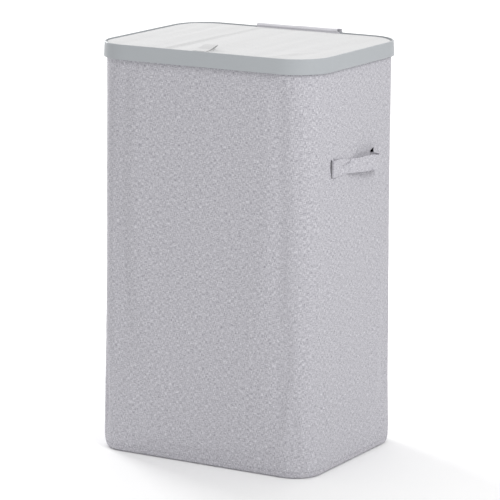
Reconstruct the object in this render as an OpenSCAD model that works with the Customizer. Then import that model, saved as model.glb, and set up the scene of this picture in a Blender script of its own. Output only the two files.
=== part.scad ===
// Fabric laundry hamper with a hinged, fabric-covered lid let into a moulded rim.
// Front faces -Y, right side +X, up +Z. The origin is on the floor, under the middle of the rim.

/* [Overall size] */
// Height from the floor to the top of the rim
hamper_h = 600; // [420:5:800]
// Width of the rim, side to side
rim_w = 363; // [290:1:480]
// Depth of the rim, front to back
rim_d = 284; // [230:1:400]
// Corner radius of the rim, seen from above
rim_r = 55; // [45:1:70]

/* [Rim and clamp ring] */
// Height of the moulded band
rim_h = 21.7; // [20:0.1:40]
// Thickness of the band's wall
rim_wall = 2.5; // [1.5:0.1:3.5]
// How far the band's lower edge stands out past its top edge
rim_flare = 1.1; // [0:0.1:3]
// Radius of the band's rounded edges
rim_edge_r = 1.2; // [0.4:0.1:1.2]
// How far the lid's ledge reaches in past the screw bosses
ledge_margin = 0.5; // [0:0.1:6]
// Thickness of the ledge
ledge_t = 2.4; // [1.6:0.1:3.5]
// Height of the screw bosses under the ledge
boss_h = 8; // [6:0.5:14]
// Wall and flange thickness of the clamp ring
clamp_t = 2.4; // [1.6:0.1:3]
// Shank radius of the small screws
screw_r = 1.45; // [1:0.05:1.8]

/* [Cover] */
// Thickness of the woven cover
cover_t = 1.2; // [0.6:0.1:1.8]
// How far the cover lies in from the rim's outer face
cover_inset = 3.6; // [3:0.1:6]
// Corner radius of the cover at the base
base_r = 42.4; // [34:0.2:50]
// Size of the turned-in edge at the bottom of the cover
base_edge = 6; // [3:0.5:10]

/* [Base and posts] */
// Height of the base frame's wall
frame_h = 24; // [16:1:50]
// Wall of the base frame
frame_t = 2.4; // [1.6:0.1:4]
// How far the base frame's floor flange reaches in
frame_flange = 20; // [16:1:30]
// Thickness of the stiff base board
base_board_t = 3; // [2:0.5:6]
// Outer radius of the corner posts
post_r = 4.75; // [3.9:0.05:5.8]
// Wall of the post tube
post_wall = 0.8; // [0.5:0.1:1.5]
// Depth of the post sockets in the clamp ring
socket_depth = 20; // [10:1:40]
// Wall of the post sockets
socket_wall = 3.1; // [1.5:0.1:4]
// Thickness of the fabric channel round each post
channel_t = 1; // [0.6:0.1:1.2]

/* [Lid] */
// How far the lid's top lies below the top of the rim
lid_recess = 1.8; // [0.5:0.1:3]
// Gap beside the lid, at the front and the sides
lid_gap = 0.9; // [0.6:0.1:2]
// Gap behind the lid, where the hinge strap comes up
lid_back_gap = 2.6; // [1.8:0.1:4]
// Thickness of the lid's board
lid_board_t = 3; // [2:0.5:5]
// Thickness of the lid's fabric cover
lid_cover_t = 1; // [0.6:0.1:1.5]
// Thickness of the lid's lining
lid_lining_t = 1; // [0.6:0.1:1.5]

/* [Hinge strap] */
// Length of the hinge strap along the back edge
hinge_w = 142; // [80:1:200]
// How far the strap's middle lies to the right of the hamper's middle
hinge_shift = 4; // [-20:1:20]
// Thickness of the strap
strap_t = 1.2; // [0.8:0.1:1.6]
// How far the strap's crest clears the top of the rim
hinge_rise = 2.3; // [1:0.1:5]
// Length of the strap's leaf inside the lid
leaf_l = 24; // [15:1:40]
// Length of the strap's tail sewn on the back of the cover
tail_l = 18; // [10:1:60]

/* [Pull tab] */
// Width of the pull tab
tab_w = 24; // [15:1:40]
// Length of the pull tab on the lid
tab_l = 33; // [20:1:60]
// Length of the tab's root inside the lid
tab_root_l = 20; // [10:1:40]

/* [Handles] */
// Distance from each handle slit to where the flat of the side ends at the rim
slit_in = 25; // [10:1:40]
// How far each handle stands towards the front from the middle of its side
handle_forward = 11; // [0:1:20]
// Height of a handle strap
handle_w = 24; // [18:1:40]
// Thickness of a handle strap
handle_t = 1.6; // [1:0.1:2.5]
// How far a handle strap bows out from the side
handle_bow = 13.5; // [8:0.5:30]
// Distance from the top of the rim down to the handle strap's top edge
handle_drop = 149; // [80:1:250]
// Length of a strap end sewn inside the cover
handle_tail_l = 28; // [15:1:45]

/* [Hidden] */
$fn = 64;
HULL_FN = 48;
CUT = 1;                    // how far a cutting shape runs past what it cuts
SLICE = 0.01;               // height of the thin slices that a hull joins
FIT = 0.3;                  // clearance between pieces of the frame and the cloth
LOOSE = 0.1;                // clearance of a post in its socket, on the radius
RUN = 0.3;                  // gap between a piece that moves and what it lies on
RIM_TOP = hamper_h;
RIM_BOTTOM = hamper_h - rim_h;

LID_TOP = RIM_TOP - lid_recess;
LID_BOARD_TOP = LID_TOP - lid_cover_t;
LID_BOARD_BOTTOM = LID_BOARD_TOP - lid_board_t;
LID_BOTTOM = LID_BOARD_BOTTOM - lid_lining_t;
LID_FRONT = -rim_d / 2 + rim_wall + lid_gap;
LID_BACK = rim_d / 2 - rim_wall - lid_back_gap;
LID_W = rim_w - 2 * (rim_wall + lid_gap);
LID_R = rim_r - rim_wall - lid_gap;

LEDGE_TOP = LID_BOTTOM - RUN;
LEDGE_BOTTOM = LEDGE_TOP - ledge_t;
CLAMP_IN = cover_inset + cover_t + FIT;
FLANGE_TOP = LEDGE_BOTTOM - boss_h;
FLANGE_BOTTOM = FLANGE_TOP - clamp_t;
SOCKET_BOTTOM = FLANGE_BOTTOM - socket_depth;

COVER_TOP = LEDGE_BOTTOM - 1;
COVER_TOP_R = rim_r - cover_inset;
SIDE_X = rim_w / 2 - cover_inset;
BACK_Y = rim_d / 2 - cover_inset;

FRAME_BOTTOM = cover_t + 0.2;
FRAME_TOP = FRAME_BOTTOM + frame_h;
FRAME_CHAMFER = base_edge - 0.6;
FRAME_R = cover_r(FRAME_TOP) - cover_t - FIT;
FRAME_FLOOR = FRAME_BOTTOM + frame_t;
BOARD_IN = CLAMP_IN + FRAME_CHAMFER + frame_t + 0.4;
BOARD_R = base_r + cover_inset - BOARD_IN;

SOCKET_R = post_r + LOOSE + socket_wall;
POST_ARC = CLAMP_IN + SOCKET_R + 0.5;            // from the rim's corner arc to a post's middle
POST_INSET = rim_r - (rim_r - POST_ARC) * cos(45);
POST_X = rim_w / 2 - POST_INSET;
POST_Y = rim_d / 2 - POST_INSET;
POST_TOP = FLANGE_BOTTOM - 0.5;

SCREW_HEAD_R = 2 * screw_r;
BOSS_R = 2 * screw_r;
SCREW_HEAD_H = 1.8;
SCREW_IN = CLAMP_IN + clamp_t + SCREW_HEAD_R + 0.2;
LEDGE_REACH = SCREW_IN + BOSS_R + ledge_margin;
SCREW_TOP = LEDGE_BOTTOM - 1.5;

HINGE_BASE_Z = RIM_BOTTOM - 2.6;                 // underside of the turn below the band
HINGE_OUT = rim_d / 2 + rim_flare + 0.6;         // inner face of the strap behind the band
HINGE_CREST = RIM_TOP + hinge_rise;

STRAP_TOP = RIM_TOP - handle_drop;
STRAP_BOTTOM = STRAP_TOP - handle_w;
SLIT_Y = rim_d / 2 - rim_r - slit_in;
LOOP_HALF = SLIT_Y - 4;
LOOP_X = SIDE_X + 0.4;
LOOP_R = (LOOP_HALF * LOOP_HALF + handle_bow * handle_bow) / (2 * handle_bow);
LOOP_HALF_TURN = asin(LOOP_HALF / LOOP_R);

// A rectangle with round corners, drawn about the origin
module rounded_rect(w, d, r) {
    square([w - 2 * r, d], center = true);
    square([w, d - 2 * r], center = true);
    for (sx = [-1, 1], sy = [-1, 1])
        translate([sx * (w / 2 - r), sy * (d / 2 - r)]) circle(r);
}

// A flat plate that lies a set distance in from the rim's outline
module inset_slab(inset, r, low, high) {
    translate([0, 0, low])
        linear_extrude(high - low)
            rounded_rect(rim_w - 2 * inset, rim_d - 2 * inset, r);
}

// Carries a profile round a rounded rectangle: in the profile x = 0 is the outline, y is the height
module ring_sweep(w, d, r) {
    half_w = w / 2 - r;
    half_d = d / 2 - r;
    for (turn = [0, 180]) rotate([0, 0, turn]) {
        translate([half_w, half_d, 0]) rotate([90, 0, 0])
            linear_extrude(2 * half_d) translate([r, 0]) children();
        rotate([0, 0, 90]) translate([half_d, half_w, 0]) rotate([90, 0, 0])
            linear_extrude(2 * half_w) translate([r, 0]) children();
        translate([half_w, half_d, 0])
            rotate_extrude(angle = 90) translate([r, 0]) children();
        translate([-half_w, half_d, 0]) rotate([0, 0, 90])
            rotate_extrude(angle = 90) translate([r, 0]) children();
    }
}

// Places something at all four corner posts
module at_posts() {
    for (sx = [-1, 1], sy = [-1, 1]) translate([sx * POST_X, sy * POST_Y, 0]) children();
}

// Places something at the eight screws, two on each side of the rim
module at_screws() {
    for (s = [-1, 1], along = [-1, 1]) {
        translate([along * (rim_w / 2 - rim_r) * 0.75, s * (rim_d / 2 - SCREW_IN), 0]) children();
        translate([s * (rim_w / 2 - SCREW_IN), along * (rim_d / 2 - rim_r) * 0.6, 0]) children();
    }
}

// The cover's corner radius grows from the base to the rim
function cover_r(z) =
    base_r + (COVER_TOP_R - base_r) * (z - base_edge) / (COVER_TOP - base_edge);

// The space inside the cover's outer face, drawn in by shrink and run past both ends by past
module cover_space(shrink, past) {
    $fn = HULL_FN;
    inset = cover_inset + shrink;
    hull() {
        inset_slab(inset + base_edge + past, base_r - base_edge - past - shrink, -past, -past + SLICE);
        inset_slab(inset, base_r - shrink, base_edge, base_edge + SLICE);
    }
    hull() {
        inset_slab(inset, base_r - shrink, base_edge, base_edge + SLICE);
        inset_slab(inset, COVER_TOP_R - shrink, COVER_TOP + past - SLICE, COVER_TOP + past);
    }
}

module body_cover() {
    color("#bab8be")
    difference() {
        cover_space(0, 0);
        cover_space(cover_t, CUT);
        for (side = [-1, 1], end = [-1, 1])
            translate([side * SIDE_X, end * SLIT_Y - handle_forward, STRAP_BOTTOM + handle_w / 2])
                cube([20, handle_t + 1.4, handle_w + 2], center = true);
    }
}

module underside_panel() {
    panel_in = cover_inset + base_edge + cover_t + 0.2;
    color("#8f8d93")
    inset_slab(panel_in, base_r + cover_inset - panel_in, 0, cover_t);
}

module base_frame() {
    color("#3a3b3f")
    difference() {
        union() {
            ring_sweep(rim_w - 2 * CLAMP_IN, rim_d - 2 * CLAMP_IN, FRAME_R)
                polygon([
                    [0, FRAME_TOP],
                    [0, FRAME_BOTTOM + FRAME_CHAMFER],
                    [-FRAME_CHAMFER, FRAME_BOTTOM],
                    [-frame_flange, FRAME_BOTTOM],
                    [-frame_flange, FRAME_FLOOR],
                    [-FRAME_CHAMFER - frame_t / 2, FRAME_FLOOR],
                    [-frame_t, FRAME_FLOOR + FRAME_CHAMFER - frame_t / 2],
                    [-frame_t, FRAME_TOP]
                ]);
            at_posts() translate([0, 0, FRAME_BOTTOM]) cylinder(h = frame_h, r = SOCKET_R);
        }
        at_posts() translate([0, 0, FRAME_FLOOR]) cylinder(h = frame_h, r = post_r + LOOSE);
    }
}

module base_board() {
    color("#9a7b55")
    difference() {
        inset_slab(BOARD_IN, BOARD_R, FRAME_FLOOR, FRAME_FLOOR + base_board_t);
        at_posts() translate([0, 0, FRAME_FLOOR - CUT])
            cylinder(h = base_board_t + 2 * CUT, r = SOCKET_R + 0.5);
    }
}

module post(sx, sy) {
    color("#c9ccd0")
    translate([sx * POST_X, sy * POST_Y, FRAME_FLOOR])
        difference() {
            cylinder(h = POST_TOP - FRAME_FLOOR, r = post_r);
            translate([0, 0, -CUT]) cylinder(h = POST_TOP + CUT, r = post_r - post_wall);
        }
}

// How far the cover's inner face is from a post's middle, along the corner's diagonal
function seam_reach(z) =
    (POST_INSET - cover_inset - cover_t - (cover_r(z) - cover_t) * (1 - cos(45))) / cos(45);

// A sewn channel: a tube of cloth round the post, with a seam flap that reaches the cover
module channel(sx, sy) {
    bore_r = post_r + FIT;
    low = FRAME_TOP + 2;
    high = SOCKET_BOTTOM - 2;
    flap_gap = 0.1;
    color("#a9a7ad")
    translate([sx * POST_X, sy * POST_Y, 0])
        difference() {
            union() {
                translate([0, 0, low]) cylinder(h = high - low, r = bore_r + channel_t);
                rotate([0, 0, atan2(sy, sx)]) rotate([90, 0, 0])
                    linear_extrude(channel_t, center = true)
                        polygon([
                            [bore_r, low],
                            [seam_reach(low) - flap_gap, low],
                            [seam_reach(high) - flap_gap, high],
                            [bore_r, high]
                        ]);
            }
            translate([0, 0, low - CUT]) cylinder(h = high - low + 2 * CUT, r = bore_r);
        }
}

// The moulded band's section: a drafted outer face, round edges and a ledge for the lid
module rim_profile() {
    foot_r = rim_edge_r / 2;
    polygon(concat(
        [for (a = [-90:30:0])
            [rim_flare - foot_r + foot_r * cos(a), RIM_BOTTOM + foot_r + foot_r * sin(a)]],
        [for (a = [0:15:90])
            [-rim_edge_r + rim_edge_r * cos(a), RIM_TOP - rim_edge_r + rim_edge_r * sin(a)]],
        [
            [-rim_wall, RIM_TOP],
            [-rim_wall, LEDGE_TOP],
            [-LEDGE_REACH, LEDGE_TOP],
            [-LEDGE_REACH, LEDGE_BOTTOM],
            [-rim_wall, LEDGE_BOTTOM],
            [-rim_wall, RIM_BOTTOM]
        ]
    ));
}

module top_rim() {
    color("#a8adb1")
    difference() {
        union() {
            ring_sweep(rim_w, rim_d, rim_r) rim_profile();
            at_screws() translate([0, 0, FLANGE_TOP])
                cylinder(h = boss_h + ledge_t / 2, r = BOSS_R);
        }
        at_screws() translate([0, 0, FLANGE_TOP - CUT])
            cylinder(h = SCREW_TOP - FLANGE_TOP + CUT + 0.5, r = screw_r + 0.05);
    }
}

module clamp_ring() {
    color("#3a3b3f")
    difference() {
        union() {
            ring_sweep(rim_w - 2 * CLAMP_IN, rim_d - 2 * CLAMP_IN, rim_r - CLAMP_IN)
                polygon([
                    [0, FLANGE_BOTTOM],
                    [0, LEDGE_BOTTOM],
                    [-clamp_t, LEDGE_BOTTOM],
                    [-clamp_t, FLANGE_TOP],
                    [CLAMP_IN - LEDGE_REACH, FLANGE_TOP],
                    [CLAMP_IN - LEDGE_REACH, FLANGE_BOTTOM]
                ]);
            at_posts() translate([0, 0, SOCKET_BOTTOM])
                cylinder(h = FLANGE_TOP - SOCKET_BOTTOM, r = SOCKET_R);
        }
        at_posts() translate([0, 0, SOCKET_BOTTOM - CUT])
            cylinder(h = socket_depth + CUT, r = post_r + LOOSE);
        at_screws() translate([0, 0, FLANGE_BOTTOM - CUT])
            cylinder(h = clamp_t + 2 * CUT, r = screw_r + 0.15);
    }
}

module rim_screws() {
    color("#d0d0d2")
    at_screws() {
        translate([0, 0, FLANGE_BOTTOM - SCREW_HEAD_H]) cylinder(h = SCREW_HEAD_H, r = SCREW_HEAD_R);
        translate([0, 0, FLANGE_BOTTOM - CUT / 2])
            cylinder(h = SCREW_TOP - FLANGE_BOTTOM + CUT / 2, r = screw_r);
    }
}

// A flat plate that lies a set distance in from the lid's outline
module lid_slab(inset, low, high) {
    translate([0, (LID_FRONT + LID_BACK) / 2, low])
        linear_extrude(high - low)
            rounded_rect(LID_W - 2 * inset, LID_BACK - LID_FRONT - 2 * inset, LID_R - inset);
}

// The strap's leaf, let into the underside of the board at the back edge
module leaf_block() {
    translate([hinge_shift - hinge_w / 2, LID_BACK - leaf_l, LID_BOARD_BOTTOM])
        cube([hinge_w, leaf_l, strap_t]);
}

// The tab's root, let into the underside of the board at the front edge
module root_block() {
    translate([-tab_w / 2, LID_FRONT, LID_BOARD_BOTTOM]) cube([tab_w, tab_root_l, strap_t]);
}

module lid_board() {
    color("#8a6f4d")
    difference() {
        lid_slab(lid_cover_t, LID_BOARD_BOTTOM, LID_BOARD_TOP);
        leaf_block();
        root_block();
    }
}

module lid_cover() {
    color("#ecebea")
    difference() {
        lid_slab(0, LID_BOARD_BOTTOM, LID_TOP);
        lid_slab(lid_cover_t, LID_BOARD_BOTTOM - CUT, LID_BOARD_TOP);
        leaf_block();
        root_block();
    }
}

module lid_lining() {
    color("#d8d7d9")
    lid_slab(lid_cover_t / 2, LID_BOTTOM, LID_BOARD_BOTTOM);
}

// The part of the hinge strap that stays with the hamper: sewn on the cover's back, it turns
// out below the band, runs up behind it and arches over the top of the band
module hinge_strap() {
    crest_front = rim_d / 2 - rim_wall;
    outer = HINGE_OUT + strap_t;
    cover_gap = 0.1;
    color("#b3b1b8")
    translate([hinge_shift - hinge_w / 2, 0, 0]) rotate([90, 0, 90])
        linear_extrude(hinge_w) {
            translate([BACK_Y + cover_gap, HINGE_BASE_Z - tail_l])
                square([strap_t, tail_l + strap_t]);
            translate([BACK_Y + cover_gap, HINGE_BASE_Z])
                square([outer - BACK_Y - cover_gap, strap_t]);
            translate([HINGE_OUT, HINGE_BASE_Z])
                square([strap_t, HINGE_CREST + strap_t - HINGE_BASE_Z]);
            translate([crest_front, HINGE_CREST]) square([outer - crest_front, strap_t]);
        }
}

module hinge_strap_leaf() {
    color("#b3b1b8") leaf_block();
}

module pull_tab() {
    hinge_in = 1.4;      // from the lid's front edge to the near end of the tab
    color("#e0dfe0")
    translate([-tab_w / 2, LID_FRONT + hinge_in, LID_TOP + RUN]) cube([tab_w, tab_l, 2 * strap_t]);
}

module pull_tab_root() {
    color("#e0dfe0") root_block();
}

// The bowed part of a handle, which swings up and out about its top edge
module handle_loop() {
    translate([LOOP_X + handle_bow - LOOP_R, -handle_forward, STRAP_BOTTOM])
        rotate([0, 0, -LOOP_HALF_TURN])
            rotate_extrude(angle = 2 * LOOP_HALF_TURN)
                translate([LOOP_R, 0]) square([handle_t, handle_w]);
}

// A handle's end: it passes in through the slit, turns back and is sewn flat inside the cover
module handle_end(sx, sy) {
    inner_x = SIDE_X - cover_t;
    translate([0, -handle_forward, 0]) mirror([sx < 0 ? 1 : 0, 0, 0]) mirror([0, sy < 0 ? 1 : 0, 0]) {
        translate([inner_x - handle_t, SLIT_Y + handle_t / 2 - handle_tail_l, STRAP_BOTTOM])
            cube([handle_t, handle_tail_l, handle_w]);
        translate([inner_x - handle_t, SLIT_Y - handle_t / 2, STRAP_BOTTOM])
            cube([2 * handle_t + cover_t, handle_t, handle_w]);
    }
}

module handle_right() {
    color("#c2c0c5") handle_loop();
}

module handle_left() {
    color("#c2c0c5") mirror([1, 0, 0]) handle_loop();
}

body_cover();
underside_panel();
base_frame();
base_board();
post(-1, -1);  // post_front_left
post(1, -1);  // post_front_right
post(-1, 1);  // post_back_left
post(1, 1);  // post_back_right
channel(-1, -1);  // channel_front_left
channel(1, -1);  // channel_front_right
channel(-1, 1);  // channel_back_left
channel(1, 1);  // channel_back_right
top_rim();
clamp_ring();
rim_screws();
lid_board();
lid_cover();
lid_lining();
hinge_strap();
hinge_strap_leaf();
pull_tab();
pull_tab_root();
handle_right();
handle_left();
handle_end(1, -1);  // handle_right_end_front
handle_end(1, 1);  // handle_right_end_back
handle_end(-1, -1);  // handle_left_end_front
handle_end(-1, 1);  // handle_left_end_back
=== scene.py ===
# %% [markdown]
# # A laundry hamper with a lid
# A slim fabric hamper is a cloth sleeve stretched over a light frame: a plastic
# ring at the bottom, four thin steel posts in sewn channels, and a moulded rim
# that clamps the cloth at the top. The lid is a covered board, held by a cloth
# hinge. The hard parts come finished from the frame and only get their surface
# here. The cloth is made here, each piece cut flat first and then laid in place,
# because that is how it is sewn, and because the weave then runs true over it.

# %% Load the frame
import math

import bpy
from mathutils import Matrix, Vector, noise


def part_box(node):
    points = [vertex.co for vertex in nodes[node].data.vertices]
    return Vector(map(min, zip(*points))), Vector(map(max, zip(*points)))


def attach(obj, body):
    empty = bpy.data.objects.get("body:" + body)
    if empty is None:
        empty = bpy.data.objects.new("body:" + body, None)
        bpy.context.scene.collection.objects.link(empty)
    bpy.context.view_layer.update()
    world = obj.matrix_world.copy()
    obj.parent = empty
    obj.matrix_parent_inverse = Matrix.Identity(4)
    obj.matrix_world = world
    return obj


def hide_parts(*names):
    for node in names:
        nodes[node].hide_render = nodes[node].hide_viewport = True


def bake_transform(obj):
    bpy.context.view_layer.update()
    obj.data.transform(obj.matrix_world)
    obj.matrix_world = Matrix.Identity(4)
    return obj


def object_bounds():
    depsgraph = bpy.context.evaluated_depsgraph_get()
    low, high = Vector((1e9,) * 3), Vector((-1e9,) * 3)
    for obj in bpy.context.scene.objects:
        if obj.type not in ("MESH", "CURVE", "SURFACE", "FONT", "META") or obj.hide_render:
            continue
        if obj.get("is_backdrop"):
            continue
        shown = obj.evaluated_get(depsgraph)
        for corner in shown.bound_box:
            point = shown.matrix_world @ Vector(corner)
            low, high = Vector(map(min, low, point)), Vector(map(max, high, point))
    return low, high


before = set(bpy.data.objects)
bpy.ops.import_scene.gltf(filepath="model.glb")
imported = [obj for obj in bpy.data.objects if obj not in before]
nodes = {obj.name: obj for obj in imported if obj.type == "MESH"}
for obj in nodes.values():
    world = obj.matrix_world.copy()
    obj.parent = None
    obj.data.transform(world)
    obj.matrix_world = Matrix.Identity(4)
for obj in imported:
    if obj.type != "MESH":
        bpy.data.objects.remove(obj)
cad_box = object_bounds()
mm = 0.001

# %% [markdown]
# ## The camera
# A product picture is taken from a few metres with a long lens, so that upright
# edges stay nearly upright. The camera stands 30 degrees to the right of the
# front and 12 degrees above level, and it is turned a third of a degree.

# %% Camera
turn, rise, roll = math.radians(29.954), math.radians(11.923), math.radians(0.37)
away_from_it, aim_right, aim_down = 4.4065, 2.47, 8.79
back = Vector((math.sin(turn) * math.cos(rise), -math.cos(turn) * math.cos(rise), math.sin(rise)))
right = Vector((math.cos(turn), math.sin(turn), 0))
up = back.cross(right)
middle = Vector((0, 0, 300 * mm))
lens = bpy.data.cameras.new("long_lens")
lens.lens, lens.sensor_width, lens.clip_end = 217.5, 36, 100
camera = bpy.data.objects.new("camera", lens)
bpy.context.scene.collection.objects.link(camera)
camera.matrix_world = (
    Matrix.Translation(middle + back * away_from_it + right * aim_right * mm - up * aim_down * mm)
    @ Matrix.Rotation(turn, 4, "Z")
    @ Matrix.Rotation(math.pi / 2 - rise, 4, "X")
    @ Matrix.Rotation(roll, 4, "Z")
)
bpy.context.scene.camera = camera
print("camera at", [round(x, 3) for x in camera.matrix_world.translation])

# %% [markdown]
# ## Helpers
# Blender's operators act on all that is selected, so every step starts from an
# empty selection. A sheet of cloth starts as a grid whose lines stand where its
# threads would, and its UV map is in metres, so a pattern on it has a real size.


# %% Select nothing
def deselect():
    if bpy.context.object and bpy.context.object.mode != "OBJECT":
        bpy.ops.object.mode_set(mode="OBJECT")
    bpy.ops.object.select_all(action="DESELECT")


# %% Take one piece in hand
def take(piece):
    deselect()
    piece.select_set(True)
    bpy.context.view_layer.objects.active = piece
    return piece


# %% Even thread lines, the nearest of them, and a line moved to where an edge has to be
def even(start, end, cell):
    count = max(1, round((end - start) / cell))
    return [start + (end - start) * i / count for i in range(count + 1)]


def nearest(lines, value):
    return min(range(len(lines)), key=lambda i: abs(lines[i] - value))


def moved_to(lines, *edges):
    lines = list(lines)
    for edge in edges:
        lines[nearest(lines, edge)] = edge
    return lines


# %% Keep the flat shape as the UV map
def map_flat(cloth):
    flat = cloth.data.uv_layers[0].data
    for loop in cloth.data.loops:
        flat[loop.index].uv = cloth.data.vertices[loop.vertex_index].co.xy


# %% Cut a flat piece of cloth
def cut_cloth(name, across, along):
    deselect()
    bpy.ops.mesh.primitive_grid_add(x_subdivisions=len(across) - 1, y_subdivisions=len(along) - 1, size=1)
    cloth = bpy.context.object
    cloth.name = cloth.data.name = name
    for vertex in cloth.data.vertices:
        i = round((vertex.co.x + 0.5) * (len(across) - 1))
        j = round((vertex.co.y + 0.5) * (len(along) - 1))
        vertex.co = (across[i], along[j], 0)
    map_flat(cloth)
    return cloth


# %% Lay it in place
def lay(cloth, place):
    for vertex in cloth.data.vertices:
        vertex.co = place(vertex.co.x, vertex.co.y)
    cloth.data.update()


# %% Join what meets, and give it its thickness, inwards or to both sides
def apply_all(piece):
    take(piece)
    for modifier in list(piece.modifiers):
        bpy.ops.object.modifier_apply(modifier=modifier.name)


def sew_edges(cloth):
    take(cloth)
    bpy.ops.object.mode_set(mode="EDIT")
    bpy.ops.mesh.select_all(action="SELECT")
    bpy.ops.mesh.remove_doubles(threshold=0.05 * mm)
    bpy.ops.object.mode_set(mode="OBJECT")


def thicken(cloth, thickness, smooth_below=50, inwards=True):
    solid = cloth.modifiers.new("thickness", "SOLIDIFY")
    solid.thickness = thickness
    solid.offset, solid.use_even_offset = (-1, True) if inwards else (0, False)
    apply_all(cloth)
    bpy.ops.object.shade_smooth_by_angle(angle=math.radians(smooth_below))
    print(cloth.name, len(cloth.data.polygons), "faces")


# %% A smooth step from 0 to 1, a hump, and a random value that changes smoothly over a unit
def smooth_step(x, low, high):
    t = min(1, max(0, (x - low) / (high - low)))
    return t * t * (3 - 2 * t)


def hump(x, at, width):
    return math.exp(-(((x - at) / width) ** 2))


def ripple(x, y, layer):
    return noise.noise(Vector((x, y, layer)))


# %% [markdown]
# ## Finishes
# Each finish says what the real material is and how its surface was made. The
# colours are written as they look on a screen and turned to linear once.


# %% Colours, and one function that adds a node
def linear(code):
    parts = [int(code[i : i + 2], 16) / 255 for i in (1, 3, 5)]
    return [p / 12.92 if p <= 0.04045 else ((p + 0.055) / 1.055) ** 2.4 for p in parts] + [1]


def between(share, dark, light):
    """The inputs of a Mix node that goes from the dark colour to the light one."""
    return {0: share, 6: linear(dark), 7: linear(light)}


def add_node(tree, kind, inputs=None, **settings):
    made = tree.nodes.new("ShaderNode" + kind)
    for key, value in settings.items():
        setattr(made, key, value)
    for key, value in (inputs or {}).items():
        if isinstance(value, bpy.types.NodeSocket):
            tree.links.new(value, made.inputs[key])
        else:
            made.inputs[key].default_value = value
    return made


# %% A new material with its main shader
def new_finish(name, **shader):
    finish = bpy.data.materials.new(name)
    finish.use_nodes = True
    main = finish.node_tree.nodes["Principled BSDF"]
    for key, value in shader.items():
        main.inputs[key.replace("_", " ").capitalize() if key != "IOR" else "IOR"].default_value = value
    return finish, finish.node_tree, main


# %% [markdown]
# ### Heather canvas
# The cover is a plain-woven polyester canvas of mixed light and dark yarns, which
# gives a melange: short flecks along both thread directions. The threads stand
# about 0.5 mm apart, too fine to show, so the weave is drawn at 1.1 mm and the
# flecks about 0.8 mm wide and 5 mm long. The weave is a faint change of colour,
# because so fine a relief would shimmer, and only the flecks stand out a little.

# %% The melange: its flecks to the metre, and how much each layer counts
warp_flecks, weft_flecks, single_threads = (1150, 200, 1), (170, 1350, 1), 1500.0
thread_share, weave_pitch, weave_share, melange_middle = 0.7, 1.1, 0.12, 1.38
fleck_relief = 0.12


# %% Woven cloth, light and dark yarn mixed
def woven(name, dark, light, contrast, roughness=0.9):
    finish, tree, main = new_finish(name, Roughness=roughness, IOR=1.5)
    main.inputs["Specular IOR Level"].default_value = 0.25
    main.inputs["Sheen Weight"].default_value = 0.15
    main.inputs["Sheen Roughness"].default_value = 0.5
    flat = add_node(tree, "UVMap", uv_map="UVMap").outputs[0]
    warp = add_node(tree, "Mapping", {"Vector": flat, "Scale": warp_flecks}).outputs[0]
    weft = add_node(tree, "Mapping", {"Vector": flat, "Scale": weft_flecks}).outputs[0]
    yarns = [
        add_node(tree, "TexNoise", {"Vector": way, "Scale": 1.0, "Detail": 2.0, "Roughness": 0.6}).outputs[0]
        for way in (warp, weft)
    ]
    fine = add_node(tree, "TexNoise", {"Vector": flat, "Scale": single_threads, "Detail": 1.0}).outputs[0]
    flecks = add_node(tree, "Math", {0: yarns[0], 1: yarns[1]}, operation="ADD").outputs[0]
    flecks = add_node(
        tree, "Math", {0: fine, 1: thread_share, 2: flecks}, operation="MULTIPLY_ADD"
    ).outputs[0]
    # a wave repeats every 0.314 / scale metres
    waves = 314.0 / weave_pitch
    bands = [
        add_node(
            tree,
            "TexWave",
            {"Vector": flat, "Scale": waves, "Distortion": 1.2, "Detail": 1.0, "Detail Scale": 2.0},
            bands_direction=way,
        ).outputs[1]
        for way in ("X", "Y")
    ]
    weave = add_node(tree, "Math", {0: bands[0], 1: bands[1]}, operation="MULTIPLY").outputs[0]
    flecks = add_node(
        tree, "Math", {0: weave, 1: weave_share, 2: flecks}, operation="MULTIPLY_ADD"
    ).outputs[0]
    darkest, lightest = melange_middle - 0.5 / contrast, melange_middle + 0.5 / contrast
    share = add_node(
        tree, "MapRange", {"Value": flecks, "From Min": darkest, "From Max": lightest}
    ).outputs[0]
    colour = add_node(tree, "Mix", between(share, dark, light), data_type="RGBA").outputs[2]
    tree.links.new(colour, main.inputs["Base Color"])
    bump = add_node(
        tree, "Bump", {"Strength": fleck_relief, "Distance": 0.25 * mm, "Height": flecks}
    ).outputs[0]
    tree.links.new(bump, main.inputs["Normal"])
    return finish


# %% The woven finishes
heather_canvas = woven("heather_polyester_canvas", "#8A8891", "#DEDDE2", 1.75)
strap_canvas = woven("heather_canvas_strap", "#8D8B94", "#E0DFE4", 1.6)
lid_canvas = woven("off_white_polyester_canvas", "#CACACB", "#DADADA", 1.3, roughness=0.85)
hinge_tape = woven("lavender_cotton_tape", "#D0CFD5", "#E7E6EA", 0.9)

# %% [markdown]
# ### Spun-bonded lining
# The channels and the lid's lining are spun-bonded polypropylene: short fibres
# welded in a grid of small points about 1.5 mm apart, so it looks dimpled.


# %% Dimpled felt
def spun_bonded(name, dark, light):
    finish, tree, main = new_finish(name, Roughness=0.8, IOR=1.49)
    main.inputs["Sheen Weight"].default_value = 0.1
    flat = add_node(tree, "UVMap", uv_map="UVMap").outputs[0]
    points = add_node(
        tree, "TexVoronoi", {"Vector": flat, "Scale": 650.0, "Randomness": 0.25}
    ).outputs["Distance"]
    fibres = add_node(tree, "TexNoise", {"Vector": flat, "Scale": 420.0, "Detail": 4.0}).outputs[0]
    colour = add_node(tree, "Mix", between(fibres, dark, light), data_type="RGBA").outputs[2]
    tree.links.new(colour, main.inputs["Base Color"])
    bump = add_node(tree, "Bump", {"Strength": 0.5, "Distance": 0.3 * mm, "Height": points}).outputs[0]
    tree.links.new(bump, main.inputs["Normal"])
    return finish


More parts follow.
